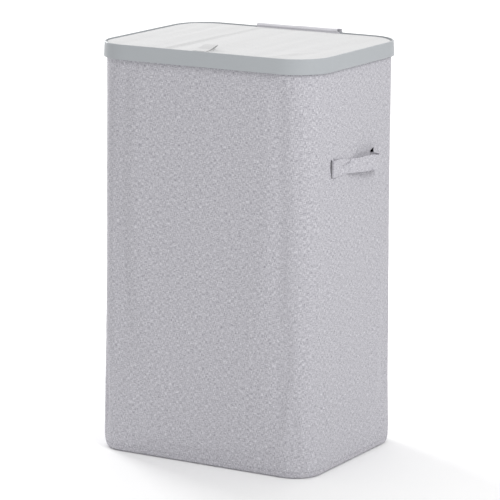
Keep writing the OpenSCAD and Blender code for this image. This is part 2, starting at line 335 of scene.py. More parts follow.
lining_felt = spun_bonded("white_spun_bonded_lining", "#CFCFD2", "#E6E6E8")
underside_felt = spun_bonded("grey_spun_bonded_underside", "#6E6D73", "#8E8D93")

# %% [markdown]
# ### Moulded plastic
# The rim is injection moulded polypropylene in cool grey, with the fine grain of
# a spark-eroded mould, drawn 0.7 mm wide so that it shows, and a slow change of
# tone over the part.
# The hidden frame parts are the same plastic in near black.


# %% Plastic with a moulded grain
def moulded(name, dark, light, roughness):
    finish, tree, main = new_finish(name, Roughness=roughness, IOR=1.49)
    place = add_node(tree, "TexCoord").outputs["Object"]
    tone = add_node(tree, "TexNoise", {"Vector": place, "Scale": 9.0, "Detail": 2.0}).outputs[0]
    colour = add_node(tree, "Mix", between(tone, dark, light), data_type="RGBA").outputs[2]
    tree.links.new(colour, main.inputs["Base Color"])
    grain = add_node(tree, "TexNoise", {"Vector": place, "Scale": 1500.0, "Detail": 2.0}).outputs[0]
    rough = add_node(
        tree, "MapRange", {"Value": grain, "To Min": roughness - 0.06, "To Max": roughness + 0.06}
    ).outputs[0]
    tree.links.new(rough, main.inputs["Roughness"])
    bump = add_node(tree, "Bump", {"Strength": 0.12, "Distance": 0.1 * mm, "Height": grain}).outputs[0]
    tree.links.new(bump, main.inputs["Normal"])
    return finish


rim_plastic = moulded("cool_grey_moulded_polypropylene", "#A9ADB1", "#B0B4B7", 0.42)
dark_plastic = moulded("black_moulded_polypropylene", "#26272A", "#2E2F33", 0.5)

# %% [markdown]
# ### Steel and hardboard
# The posts are thin welded tube, zinc plated: a metal with faint lengthwise
# drawing marks about 1 mm apart. The boards are pressed wood-fibre hardboard,
# brown and mottled, with fibres 1 to 3 mm long.


# %% Zinc-plated steel
def plated_steel(name, dark, light, roughness, stretch):
    finish, tree, main = new_finish(name, Metallic=1.0, Roughness=roughness)
    place = add_node(tree, "TexCoord").outputs["Object"]
    drawn = add_node(tree, "Mapping", {"Vector": place, "Scale": stretch}).outputs[0]
    marks = add_node(tree, "TexNoise", {"Vector": drawn, "Scale": 1.0, "Detail": 3.0}).outputs[0]
    colour = add_node(tree, "Mix", between(marks, dark, light), data_type="RGBA").outputs[2]
    tree.links.new(colour, main.inputs["Base Color"])
    rough = add_node(
        tree, "MapRange", {"Value": marks, "To Min": roughness - 0.08, "To Max": roughness + 0.1}
    ).outputs[0]
    tree.links.new(rough, main.inputs["Roughness"])
    return finish


post_steel = plated_steel("zinc_plated_drawn_tube", "#B4B7BA", "#CDD0D2", 0.32, (900, 900, 12))
screw_steel = plated_steel("zinc_plated_screw_steel", "#A9ACAF", "#C4C7CA", 0.28, (700, 700, 700))


# %% Hardboard
def fibre_board(name, dark, light):
    finish, tree, main = new_finish(name, Roughness=0.62, IOR=1.5)
    place = add_node(tree, "TexCoord").outputs["Object"]
    fibres = add_node(
        tree, "TexNoise", {"Vector": place, "Scale": 480.0, "Detail": 5.0, "Roughness": 0.7}
    ).outputs[0]
    patches = add_node(tree, "TexNoise", {"Vector": place, "Scale": 22.0, "Detail": 2.0}).outputs[0]
    both = add_node(tree, "Math", {0: fibres, 1: patches}, operation="MULTIPLY").outputs[0]
    share = add_node(tree, "MapRange", {"Value": both, "From Min": 0.1, "From Max": 0.42}).outputs[0]
    colour = add_node(tree, "Mix", between(share, dark, light), data_type="RGBA").outputs[2]
    tree.links.new(colour, main.inputs["Base Color"])
    bump = add_node(tree, "Bump", {"Strength": 0.2, "Distance": 0.1 * mm, "Height": fibres}).outputs[0]
    tree.links.new(bump, main.inputs["Normal"])
    return finish


hardboard = fibre_board("pressed_fibre_hardboard", "#6B4E36", "#9C7A58")


# %% Put a finish on a piece
def paint(piece, finish):
    piece.data.materials.clear()
    piece.data.materials.append(finish)


# %% The hard parts keep their shape
for finish, names in (
    (rim_plastic, ["top_rim"]),
    (dark_plastic, ["base_frame", "clamp_ring"]),
    (post_steel, [f"post_{e}_{s}" for e in ("front", "back") for s in ("left", "right")]),
    (screw_steel, ["rim_screws"]),
    (hardboard, ["base_board", "lid_board"]),
):
    for name in names:
        paint(nodes[name], finish)
print("painted the hard parts")

# %% [markdown]
# ## The sleeve's outline
# Seen from above the hamper is a rounded rectangle. The cloth starts at the back
# seam and runs once round it. The corners are a little tighter at the base than
# at the rim, so the outline is a function of the height.

# %% Sizes from the frame
cover_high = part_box("body_cover")[1]
half_w, half_d, cover_top = cover_high.x, cover_high.y, cover_high.z
base_r, top_r, base_edge, cover_t = 42.4 * mm, 51.4 * mm, 6 * mm, 1.2 * mm
print("cover", [round(v / mm, 1) for v in (half_w, half_d, cover_top)])


def corner_r(z):
    return base_r + (top_r - base_r) * (z - base_edge) / (cover_top - base_edge)


# %% Handle slits and thread lines
slit_low, slit_high = 426 * mm, 452 * mm
slit_front, slit_back, slit_half = -73 * mm, 51 * mm, 1.6 * mm
slit_mid = (slit_low + slit_high) / 2
true_r = corner_r(slit_mid)
flat_x, flat_y, arc = 2 * (half_w - true_r), 2 * (half_d - true_r), math.pi / 2 * true_r
cloth_round = 2 * flat_x + 2 * flat_y + 4 * arc
right_middle = flat_x * 1.5 + flat_y * 1.5 + 3 * arc
left_middle = flat_x * 0.5 + arc + flat_y * 0.5
print("cloth round the hamper", round(cloth_round / mm), "mm")


# %% From a distance along the cloth to a place on the outline
def on_outline(s, inset, r):
    """The place and the outward direction at s along the cloth, for this inset and corner radius."""
    s = s % cloth_round
    w, d = half_w - r, half_d - r
    runs = [
        (flat_x / 2, (0, d + r), (-w, d + r)),
        (arc, (-w, d), 90),
        (flat_y, (-w - r, d), (-w - r, -d)),
        (arc, (-w, -d), 180),
        (flat_x, (-w, -d - r), (w, -d - r)),
        (arc, (w, -d), 270),
        (flat_y, (w + r, -d), (w + r, d)),
        (arc, (w, d), 0),
        (flat_x / 2, (w, d + r), (0, d + r)),
    ]
    for length, start, end in runs:
        if s <= length + 1e-9:
            break
        s -= length
    f = min(1.0, s / length)
    if isinstance(end, tuple):
        a, b = Vector(start), Vector(end)
        way = (b - a).normalized()
        out = Vector((way.y, -way.x))
        return a.lerp(b, f) - out * inset, out
    angle = math.radians(end + 90 * f)
    out = Vector((math.cos(angle), math.sin(angle)))
    return Vector(start) + out * (r - inset), out


# %% [markdown]
# ## The cover
# The cover is one strip of canvas, sewn to a tube at the back. Its bottom hem is
# tucked under the frame, and its top is clamped inside the rim. It is only pulled
# tight up and down, so its sides lie in long shallow waves, and the cloth that is
# spare at the tighter bottom corners gathers in upright folds. How the slack lies
# is found with the cloth modifier, on a coarse sleeve that is a third of a percent
# too wide and is held where the real one is sewn or clamped. What it finds is a
# small move in or out of the wall. The fine cover follows that, with the folds of
# the corners and the pull of the handles laid on top of it.

# %% A coarse sleeve with a little spare cloth
corner_steps = (0, flat_y + arc, flat_y + flat_x + 2 * arc, 2 * flat_y + flat_x + 3 * arc)
corners_at = [flat_x / 2 + arc * 0.5 + step for step in corner_steps]
slack_columns, slack_rows = even(0, cloth_round, 9.5 * mm), even(7 * mm, cover_top, 11 * mm)
column_step, row_step = slack_columns[1] - slack_columns[0], slack_rows[1] - slack_rows[0]
spare_cloth, settle_frames, slack_cap = 1.0035, 20, 3.0
post_hold, hem_hold, clamp_hold, seam_hold = 8 * mm, 20 * mm, 570 * mm, 5 * mm


# %% Where the real cloth is held
def hold_sleeve(sleeve, flat):
    """Adds the group of points that stay: fully at hem, clamp and seam, and nearly at the posts."""
    held = sleeve.vertex_groups.new(name="held")
    for vertex, (s, z) in zip(sleeve.data.vertices, flat):
        at_post = min(abs(s - c) for c in corners_at) < post_hold
        at_edge = z < hem_hold or z > clamp_hold or s < seam_hold or s > cloth_round - seam_hold
        if at_edge or at_post:
            held.add([vertex.index], 1.0 if at_edge else 0.9, "REPLACE")


# %% Let it settle
def settled_sleeve():
    """How far each crossing of the sleeve moves out of the true wall in mm, by column and row."""
    sleeve = cut_cloth("slack_sleeve", slack_columns, slack_rows)
    flat = [tuple(v.co.xy) for v in sleeve.data.vertices]

    def wavy_wall(s, z):
        spot, out = on_outline(s, 0, corner_r(z))
        start = 0.5 * ripple(s / 0.05, z / 0.2, 3.1) * mm
        return Vector((*(spot + out * start), z))

    lay(sleeve, wavy_wall)
    take(sleeve)
    sleeve.shape_key_add(name="Basis")
    loose = sleeve.shape_key_add(name="loose")
    for vertex, key in zip(sleeve.data.vertices, loose.data):
        key.co = (vertex.co.x * spare_cloth, vertex.co.y * spare_cloth, vertex.co.z)
    hold_sleeve(sleeve, flat)
    cloth = sleeve.modifiers.new("canvas", "CLOTH")
    canvas = cloth.settings
    canvas.quality, canvas.mass, canvas.air_damping = 6, 0.25, 2
    canvas.vertex_group_mass, canvas.rest_shape_key = "held", loose
    canvas.tension_stiffness = canvas.compression_stiffness = 40
    canvas.shear_stiffness, canvas.bending_stiffness = 10, 0.4
    cloth.point_cache.frame_end = settle_frames
    for step in range(1, settle_frames + 1):
        bpy.context.scene.frame_set(step)
    moved = sleeve.evaluated_get(bpy.context.evaluated_depsgraph_get()).to_mesh()
    grid = {}
    for vertex, (s, z) in zip(moved.vertices, flat):
        spot, out = on_outline(s, 0, corner_r(z))
        depth = (Vector(vertex.co.xy) - spot).dot(out) / mm
        row = round((z - slack_rows[0]) / row_step)
        grid[nearest(slack_columns, s), row] = max(-slack_cap, min(slack_cap, depth))
    bpy.context.scene.frame_set(1)
    bpy.data.objects.remove(sleeve, do_unlink=True)
    return grid


settled = settled_sleeve()
least, most = min(settled.values(), default=0), max(settled.values(), default=0)
print("sleeve settled at", len(settled), "crossings, from", round(least, 2), "to", round(most, 2), "mm")


# %% The slack at any place
def slack(s, z):
    """The simulated move between the four nearest crossings, smoothly blended."""
    if not settled:
        return 0.0
    a = (s % cloth_round) / column_step
    b = min(len(slack_rows) - 1.001, max(0, (min(z, cover_top) - slack_rows[0]) / row_step))
    i, j = min(int(a), len(slack_columns) - 2), int(b)
    f, g = smooth_step(a - i, 0, 1), smooth_step(b - j, 0, 1)
    low = settled[i, j] * (1 - f) + settled[i + 1, j] * f
    high = settled[i, j + 1] * (1 - f) + settled[i + 1, j + 1] * f
    return low * (1 - g) + high * g


# %% The waves and folds: heights in mm, and how far each reaches
slack_share, wave_share, wave_high, small_wave_high = 0.8, 0.6, 1.1, 0.35
fold_high, fold_pitch, fold_foot, fold_reach, fold_wide = 2.4, 26 * mm, 20 * mm, 90 * mm, 34 * mm
pleat_high, pleat_pitch, pleat_reach = 0.7, 12 * mm, 55 * mm
hollow_deep, hollow_wide, drag_high = 3.2, 13 * mm, 0.3
pull_deep, pull_tall, pull_wide = 0.9, 24 * mm, 16 * mm


# %% How far the cloth stands out from its true wall
def swell(s, z):
    """The slack, long waves, gathers at the base corners, hollows beside them, and drags at the handles."""
    to_corner = min(abs(s - c) for c in corners_at)
    at_corner = hump(to_corner, 0, fold_wide)
    waves = wave_high * ripple(s / 0.075, z / 0.26, 3.1) + small_wave_high * ripple(s / 0.024, z / 0.15, 9.4)
    low = hump(max(0, z - fold_foot), 0, fold_reach)
    drift = 1.6 * ripple(s / 0.05, z / 0.12, 0)
    pleats = pleat_high * hump(z, 0, pleat_reach) * math.sin(2 * math.pi * s / pleat_pitch + 2 * drift)
    folds = fold_high * math.sin(2 * math.pi * s / fold_pitch + 1.4 + drift)
    gathers = at_corner * low * (folds + pleats)
    hollow = -hollow_deep * hump(to_corner, arc / 2, hollow_wide) * smooth_step(z, 30 * mm, 150 * mm)
    drags = drag_high * at_corner * ripple((s + 0.6 * z) / 0.009, z / 0.07, 5.5)
    pull = -pull_deep * hump(z, slit_mid, pull_tall) * sum(
        hump(s - m, o, pull_wide) for m in (right_middle, left_middle) for o in (slit_front, slit_back)
    )
    laid = wave_share * waves * (1 - 0.55 * at_corner) + gathers + hollow + drags + pull
    out = (slack_share * slack(s, z) + laid) * mm
    out = max(out, -4 * mm * smooth_step(z, 34 * mm, 100 * mm))
    return out * smooth_step(z, 5 * mm, 16 * mm) * (1 - smooth_step(z, 552 * mm, 574 * mm))


# %% The hem's profile, from under the base up to the wall: how far in, and how high, in mm
hem = [(7.2, 0.0), (5.6, 0.05), (3.9, 0.5), (2.4, 1.4), (1.2, 2.8), (0.4, 4.6), (0.0, 6.6)]
hem_run = [0.0]
for (a, b), (c, d) in zip(hem, hem[1:]):
    hem_run.append(hem_run[-1] + math.hypot(c - a, d - b))
rise_rows = moved_to(even(hem[-1][1] * mm, cover_top, 5.4 * mm), slit_low, slit_high)
rows = [v * mm for v in hem_run] + [hem_run[-1] * mm + z - hem[-1][1] * mm for z in rise_rows[1:]]


# %% How a slit's front lip is drawn open by the strap
# each lip is drawn open so many mm, leans so much, and is widest so many mm above its middle
front_lip, back_lip = (1.3, 0.16, 0), (10.0, 0.0, 8)
# on the right side the cloth runs towards the back, on the left side towards the front
slits = [
    (right_middle + slit_front, 1, *front_lip),
    (right_middle + slit_back, 1, *back_lip),
    (left_middle - slit_front, -1, *front_lip),
    (left_middle - slit_back, -1, *back_lip),
]


def drawn_open(s, z):
    """Where a thread at s along the cloth goes, when it runs near a slit."""
    for at, way, gape, lean, above in slits:
        along = (s - at) * way
        if abs(along) < 45 * mm and abs(z - slit_mid) < 45 * mm:
            widest = slit_mid + above * mm
            reach = slit_high - widest if z > widest else widest - slit_low
            lip = max(0.0, 1 - ((z - widest) / reach) ** 2)
            before = hump(along, -slit_half, 15 * mm) if along < -slit_half * 0.5 else 0.0
            leaning = lean * (slit_mid - z) * hump(z, slit_mid, 17 * mm) * hump(along, 0, 16 * mm)
            s += way * (leaning - gape * mm * lip * before)
    return s


# %% Where a thread crossing lies
def on_cover(s, v):
    step = nearest(rows, v)
    if step < len(hem):
        inset, z = hem[step][0] * mm, hem[step][1] * mm
    else:
        inset, z = 0.0, rise_rows[step - len(hem) + 1]
    place, out = on_outline(drawn_open(s, z), inset, corner_r(max(z, base_edge)))
    if step >= len(hem) - 1:
        place = place + out * swell(s, z)
    return Vector((place.x, place.y, z))


# %% Cut the cover, open its slits, and sew its back seam
columns = moved_to(even(0, cloth_round, 3.0 * mm), *[s[0] - slit_half for s in slits])
columns = moved_to(columns, *[s[0] + slit_half for s in slits])
cover = cut_cloth("cover_cloth", columns, rows)
hem_turned = (hem_run[-1] - hem[-1][1]) * mm
low_v, high_v = hem_turned + slit_low, hem_turned + slit_high
take(cover)
bpy.ops.object.mode_set(mode="EDIT")
bpy.ops.mesh.select_mode(type="FACE")
bpy.ops.mesh.select_all(action="DESELECT")
bpy.ops.object.mode_set(mode="OBJECT")
for face in cover.data.polygons:
    x, y = face.center.xy
    face.select = low_v < y < high_v and any(abs(x - s[0]) < slit_half for s in slits)
opened = sum(face.select for face in cover.data.polygons)
bpy.ops.object.mode_set(mode="EDIT")
bpy.ops.mesh.delete(type="FACE")
bpy.ops.object.mode_set(mode="OBJECT")
lay(cover, on_cover)
sew_edges(cover)
thicken(cover, cover_t)
paint(cover, heather_canvas)
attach(cover, "body")
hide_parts("body_cover")
print("opened", opened, "faces for the four slits")

# %% [markdown]
# ## Flat panels
# The underside panel, the lid's lining and the lid's cover are rounded rectangles.
# A square grid is squeezed row by row to the outline, so its rows stay parallel.


# %% A row-by-row rounded rectangle
def squeezed(x, y, half_x, half_y, r):
    """Moves a point of the rectangle to the rounded rectangle of the same size."""
    into = max(0.0, abs(y) - (half_y - r))
    width = half_x - r + math.sqrt(max(0.0, r * r - into * into))
    return x * width / half_x, y


def rounded_panel(name, box, r, cell, z, height=lambda x, y: 0.0):
    low, high = box
    half_x, half_y, mid_y = (high.x - low.x) / 2, (high.y - low.y) / 2, (high.y + low.y) / 2
    ys = [half_y * math.sin(t) for t in even(-math.pi / 2, math.pi / 2, math.pi * cell / (2 * half_y))]
    panel = cut_cloth(name, even(-half_x, half_x, cell), ys)
    lay(panel, lambda x, y: Vector((*squeezed(x, y, half_x, half_y, r), 0)))
    map_flat(panel)
    lay(panel, lambda x, y: Vector((x, y + mid_y, z + height(x, y + mid_y))))
    return panel


# %% The underside panel and the lid's lining
under_low, under_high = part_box("underside_panel")
underside = rounded_panel("underside_cloth", (under_low, under_high), 35 * mm, 8 * mm, under_high.z)
lining_low, lining_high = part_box("lid_lining")
lining = rounded_panel("lid_lining_cloth", (lining_low, lining_high), 50.6 * mm, 8 * mm, lining_high.z)
for panel, finish, body, node, material, support in (
    (underside, underside_felt, "body", "underside_panel", "underside_fabric", "cover_cloth"),
    (lining, lining_felt, "lid", "lid_lining", "lining_fabric", "lid_board"),
):
    low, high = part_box(node)
    thicken(panel, high.z - low.z)
    paint(panel, finish)
    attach(panel, body)
    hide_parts(node)

# %% [markdown]
# ## The lid's cover
# Off-white canvas is drawn over the board and sewn to the lining below it. It is
# slack enough to keep one long soft crease left of the middle, from the front to
# the back, and a few shallow drags that run the same way. Its edge turns down
# round the board in a small radius, which is extruded from the panel's outline.

# %% Its crown and its creases
lid_low, lid_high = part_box("lid_cover")
lid_half_x, lid_half_y = lid_high.x, (lid_high.y - lid_low.y) / 2
lid_mid_y, lid_r, lid_t = (lid_high.y + lid_low.y) / 2, 51.6 * mm, 1.0 * mm
edge_in, turned_down = 1.6 * mm, 4 * mm
crease_x, crease_front, crease_lean = -64 * mm, -126 * mm, 0.03
corner_drag_x, corner_drag_y, corner_drag_lean = 120 * mm, -95 * mm, 0.4


def lid_height(x, y):
    """How far the lid's cloth stands above its box's top: one crease, drags beside it, calm edges."""
    front = 1 - smooth_step(y, -110 * mm, 60 * mm)
    off_crease = (x - crease_x - crease_lean * (y - crease_front)) / mm
    dip = -(0.9 + 0.7 * front) * hump(off_crease, 5, 4.0 if off_crease < 5 else 20)
    ridge = 0.5 * hump(off_crease, 0, 3)
    drags = 0.9 * ripple(x / 0.022, y / 0.2, 2.2) + 0.3 * ripple(x / 0.009, y / 0.11, 7.7)
    across = 0.35 * ripple(x / 0.12, y / 0.02, 5.1)
    off_drag = x - corner_drag_x - corner_drag_lean * (y - corner_drag_y)
    near_corner = hump(off_drag, 0, 6 * mm) * hump(y, corner_drag_y, 36 * mm)
    to_edge = min(lid_half_x - abs(x), lid_half_y - abs(y - lid_mid_y))
    inside = smooth_step(to_edge, 2 * mm, 14 * mm)
    return (0.5 + (0.4 + dip + ridge + drags + across + near_corner) * inside) * mm


# %% Cut it, turn its edge down and give it its thickness
inner_box = (lid_low + Vector((edge_in, edge_in, 0)), lid_high - Vector((edge_in, edge_in, 0)))
lid_cloth = rounded_panel("lid_cloth", inner_box, lid_r - edge_in, 3.2 * mm, lid_high.z, lid_height)


def edge_direction(x, y, r):
    cx, cy = max(0, abs(x) - (lid_half_x - r)), max(0, abs(y - lid_mid_y) - (lid_half_y - r))
    if cx > 0 and cy > 0:
        return Vector((math.copysign(cx, x), math.copysign(cy, y - lid_mid_y), 0)).normalized()
    if lid_half_x - abs(x) < lid_half_y - abs(y - lid_mid_y):
        return Vector((math.copysign(1, x), 0, 0))
    return Vector((0, math.copysign(1, y - lid_mid_y), 0))


take(lid_cloth)
bpy.ops.object.mode_set(mode="EDIT")
bpy.ops.mesh.select_mode(type="VERT")
bpy.ops.mesh.select_all(action="DESELECT")
bpy.ops.mesh.select_non_manifold()
out_before, down_before = 0.0, 0.0
for out_now, down_now in ((0.7, 0.15), (1.25, 0.6), (1.6, 1.4), (1.6, 2.9), (1.6, 4.5)):
    bpy.ops.mesh.extrude_region_move(TRANSFORM_OT_translate={"value": (0, 0, -(down_now - down_before) * mm)})
    bpy.ops.object.mode_set(mode="OBJECT")
    for vertex in lid_cloth.data.vertices:
        if vertex.select:
            vertex.co += edge_direction(vertex.co.x, vertex.co.y, lid_r) * (out_now - out_before) * mm
    bpy.ops.object.mode_set(mode="EDIT")
    out_before, down_before = out_now, down_now
bpy.ops.object.mode_set(mode="OBJECT")
thicken(lid_cloth, lid_t)
paint(lid_cloth, lid_canvas)
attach(lid_cloth, "lid")
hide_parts("lid_cover")

# %% [markdown]
# ## The post channels
# Each post slides in a sleeve of lining sewn along the inside of a corner. In
# cross-section the strip leaves the seam, goes once round the tube and comes back
# to the seam, like a drop.


# %% Sizes of a channel
tube_round, seam_inset, seam_half_gap, channel_t = 5.9 * mm, 2.3 * mm, 0.55 * mm, 0.7 * mm
channel_flat, column_width = 42 * mm, 3 * mm
tube_turns = even(math.radians(52), math.radians(308), math.radians(14))
across_channel = [None, *tube_turns, None]
print("channel strip", len(across_channel), "threads wide")


# %% One channel for each corner
def channel(name, side, end):
    """Across the strip, None is a seam edge and an angle is a place round the tube."""
    post_low, post_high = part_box("post" + name)
    low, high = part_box("channel" + name)
    centre = (post_low + post_high) / 2
    threads = [float(i) for i in range(len(across_channel))]
    strip = cut_cloth("channel_cloth" + name, threads, even(low.z, high.z, 12 * mm))

    def place(i, z):
        r = corner_r(z)
        reach = (r - seam_inset) * math.sqrt(0.5)
        seam = Vector((half_w - r + reach, half_d - r + reach)) - Vector((abs(centre.x), abs(centre.y)))
        angle = across_channel[round(i)]
        away = seam.normalized()
        aside = Vector((-away.y, away.x))
        if angle is None:
            spot = seam + aside * (seam_half_gap if i < 1 else -seam_half_gap)
        else:
            loose = 1 + 0.02 * ripple(i * 0.4, z / 0.05, side + 2 * end)
            spot = (away * math.cos(angle) + aside * math.sin(angle)) * tube_round * loose
        return Vector((side * (abs(centre.x) + spot.x), end * (abs(centre.y) + spot.y), z))

    lay(strip, place)
    flat = strip.data.uv_layers[0].data
    for loop in strip.data.loops:
        flat[loop.index].uv.x *= column_width
    if side * end < 0:
        strip.data.flip_normals()
    return strip


for end_name, end in (("front", -1), ("back", 1)):
    for side_name, side in (("left", -1), ("right", 1)):
        name = f"_{end_name}_{side_name}"
        strip = channel(name, side, end)
        low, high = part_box("channel" + name)
        thicken(strip, channel_t, smooth_below=60)
        paint(strip, lining_felt)
        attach(strip, "body")
        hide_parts("channel" + name)

# %% [markdown]
# ## Straps
# A strap is a strip of folded canvas. It is laid along a line of points in the
# plane that it bends in, rounded at each turn, and keeps its width across it.


# %% A smooth line through corner points
def rounded_line(points, cell):
    """Points every cell along a line through the corner points, with its turns softened."""
    line = [Vector(p) for p in points]
    for _ in range(3):
        cut = [line[0]]
        for a, b in zip(line, line[1:]):
            cut += [a.lerp(b, 0.25), a.lerp(b, 0.75)]
        line = cut + [line[-1]]
    lengths = [0.0]
    for a, b in zip(line, line[1:]):
        lengths.append(lengths[-1] + (b - a).length)
    spots, i = [], 0
    for want in even(0, lengths[-1], cell):
        while i < len(line) - 2 and lengths[i + 1] < want:
            i += 1
        span = lengths[i + 1] - lengths[i]
        spots.append(line[i].lerp(line[i + 1], (want - lengths[i]) / span if span else 0))
    return spots, lengths[-1]


# %% How far along the strip each point of its line lies, and the point for a distance
def marks(line, run):
    return [i * run / (len(line) - 1) for i in range(len(line))]


def point_at(line, run, v):
    return line[round(v / run * (len(line) - 1))]


# %% [markdown]
# ## The hinge strap
# The lid hangs on one wide tape. It is sewn inside the lid's back edge, comes up
# between the lid and the rim, stands over the rim in a soft roll, goes down behind
# it and is sewn to the cover.

# %% Its line, as seen from the side
strap_low, strap_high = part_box("hinge_strap")
lid_back, out_y = lid_high.y, strap_high.y
side_line, strap_run = rounded_line(
    [
        (lid_back - 24 * mm, 594.8 * mm),
        (lid_back - 3 * mm, 594.8 * mm),
        (lid_back + 1.4 * mm, 595.0 * mm),
        (lid_back + 1.9 * mm, 597.5 * mm),
        (lid_back + 2.0 * mm, 600.2 * mm),
        (lid_back + 0.6 * mm, 601.0 * mm),
        (lid_back + 0.7 * mm, 603.2 * mm),
        (lid_back + 3.2 * mm, 604.3 * mm),
        (lid_back + 6.2 * mm, 604.0 * mm),
        (out_y - 0.3 * mm, 602.0 * mm),
        (out_y - 0.5 * mm, 597.0 * mm),
        (out_y - 0.6 * mm, 578.2 * mm),
        (out_y - 1.6 * mm, 576.2 * mm),
        (half_d + 1.9 * mm, 575.8 * mm),
        (half_d + 0.75 * mm, 573.8 * mm),
        (half_d + 0.75 * mm, 558.0 * mm),
    ],
    1.2 * mm,
)
print("hinge tape", round(strap_run / mm), "mm long")

# %% Lay the tape
hinge_t = 1.0 * mm
tape_across = even(strap_low.x, strap_high.x, 2.5 * mm)
hinge = cut_cloth("hinge_tape", tape_across, marks(side_line, strap_run))


def on_hinge(x, v):
    """Its roll is narrower in front, flares at the open end and sags a little."""
    spot = point_at(side_line, strap_run, v)
    loose = smooth_step(spot.y, 599 * mm, 603 * mm)
    before_rim = 1 - smooth_step(spot.x, lid_back + 2.5 * mm, lid_back + 6 * mm)
    in_front = smooth_step(spot.y, 598 * mm, 601 * mm) * before_rim
    flare = smooth_step(x, 58 * mm, 74 * mm) * loose
    x -= smooth_step(x, 40 * mm, 75 * mm) * (1.5 + 5 * in_front) * mm
    y = spot.x + loose * 0.3 * mm * ripple(x / 0.03, v / 0.02, 1.0)
    sag = 0.4 * ripple(x / 0.028, 0.5, 4.0) - 0.4 * (x < 0)
    z = spot.y + loose * sag * mm + flare * 0.7 * mm
    return Vector((x, y, z))


lay(hinge, on_hinge)
thicken(hinge, hinge_t, inwards=False)
paint(hinge, hinge_tape)
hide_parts("hinge_strap", "hinge_strap_leaf")
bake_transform(hinge)

# %% [markdown]
# ## The pull tab
# A short ribbon folded in half sticks up at the front of the lid. Its ends are
# sewn into the lid's edge and its fold stands off the lid at a slant, so
# its side shows a thin dark gap between the two layers.

# %% Its line: out along the lid, round the fold and back on top
tab_low, tab_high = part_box("pull_tab")
tab_left, tab_right = tab_low.x - 1 * mm, tab_high.x - 5 * mm
top = lid_high.z
tab_line, tab_run = rounded_line(
    [
        (tab_low.y, top + 0.9 * mm),
        (tab_low.y + 15 * mm, top + 0.95 * mm),
        (tab_low.y + 21 * mm, top + 1.3 * mm),
        (tab_low.y + 28 * mm, top + 3.1 * mm),
        (tab_low.y + 34.5 * mm, top + 5.2 * mm),
        (tab_low.y + 36.2 * mm, top + 6.0 * mm),
        (tab_low.y + 35.6 * mm, top + 7.0 * mm),
        (tab_low.y + 33.6 * mm, top + 6.9 * mm),
        (tab_low.y + 27 * mm, top + 5.7 * mm),
        (tab_low.y + 20 * mm, top + 4.0 * mm),
        (tab_low.y + 15.5 * mm, top + 2.4 * mm),
        (tab_low.y + 0.4 * mm, top + 1.7 * mm),
    ],
    0.8 * mm,
)
print("pull tab ribbon", round(tab_run / mm), "mm long")

# %% Lay the ribbon
ribbon_t = 0.7 * mm
tab = cut_cloth("pull_tab_ribbon", even(tab_left, tab_right, 1.6 * mm), marks(tab_line, tab_run))
lay(tab, lambda x, v: Vector((x, *point_at(tab_line, tab_run, v))))
thicken(tab, ribbon_t, inwards=False)
paint(tab, lid_canvas)
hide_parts("pull_tab")
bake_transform(tab)

# %% The part of the ribbon that is sewn inside the lid
root_low, root_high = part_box("pull_tab_root")
root_across, root_along = even(root_low.x, root_high.x, 2 * mm), even(root_low.y, root_high.y, 2 * mm)
root = cut_cloth("pull_tab_sewn_end", root_across, root_along)
lay(root, lambda x, y: Vector((x, y, root_high.z - 0.1 * mm * (1 + ripple(x / 0.006, y / 0.006, 0)))))
thicken(root, root_high.z - root_low.z - 0.25 * mm)
paint(root, lid_canvas)
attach(root, "lid")
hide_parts("pull_tab_root")

# %% [markdown]
# ## The handles
# Each handle is one folded strip of canvas. Its ends go in through the slits and
# are sewn flat inside. The strip is longer than the distance between the slits, so
# it stands out as a loop. It lies flat behind the front slit, breaks in a crease
# that runs slantwise to the top edge, then swings out, and turns back sharply
# near the rear slit. It swings up when it is pulled, and it is laid in two halves
# that meet in its middle.

# %% The strip's line, as seen from above on the right side
loop_low, loop_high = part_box("handle_right")
strap_wide = loop_high.z - loop_low.z
wall = half_w
reach_out = loop_high.x - 0.9 * mm
inner = wall - cover_t - 0.9 * mm
handle_line, handle_run = rounded_line(
    [
        (inner, slit_front + 28 * mm),
        (inner, slit_front + 20 * mm),
        (inner - 5 * mm, slit_front + 13 * mm),
        (inner - 5 * mm, slit_front + 4 * mm),
        (wall - 3.0 * mm, slit_front + 1.7 * mm),
        (wall - 0.6 * mm, slit_front + 1.1 * mm),
        (wall + 1.0 * mm, slit_front + 1.6 * mm),
        (wall + 1.2 * mm, slit_front + 5 * mm),
        (wall + 1.2 * mm, slit_front + 27 * mm),
        (wall + 2.2 * mm, slit_front + 34 * mm),
        (wall + 7.2 * mm, slit_front + 66 * mm),
        (reach_out - 1.4 * mm, slit_back - 24 * mm),
        (reach_out, slit_back - 13 * mm),
        (reach_out - 1.5 * mm, slit_back - 6 * mm),
        (wall + 6 * mm, slit_back - 1.2 * mm),
        (wall + 2 * mm, slit_back - 0.1 * mm),
        (wall - 0.6 * mm, slit_back + 0.2 * mm),
        (wall - 4.0 * mm, slit_back),
        (wall - 7.5 * mm, slit_back - 1.5 * mm),
        (wall - 8.0 * mm, slit_back - 9 * mm),
        (inner, slit_back - 19 * mm),
        (inner, slit_back - 28 * mm),
    ],
    1.5 * mm,
)
handle_middle = -11 * mm


def off_middle(i):
    """How far a point of the line is from the handle's middle, with the part inside the wall left out."""
    return abs(handle_line[i].y - handle_middle) + (1 if handle_line[i].x < wall else 0)


split_at = min(range(len(handle_line)), key=off_middle)
print("handle strip", round(handle_run / mm), "mm long, halved at point", split_at)


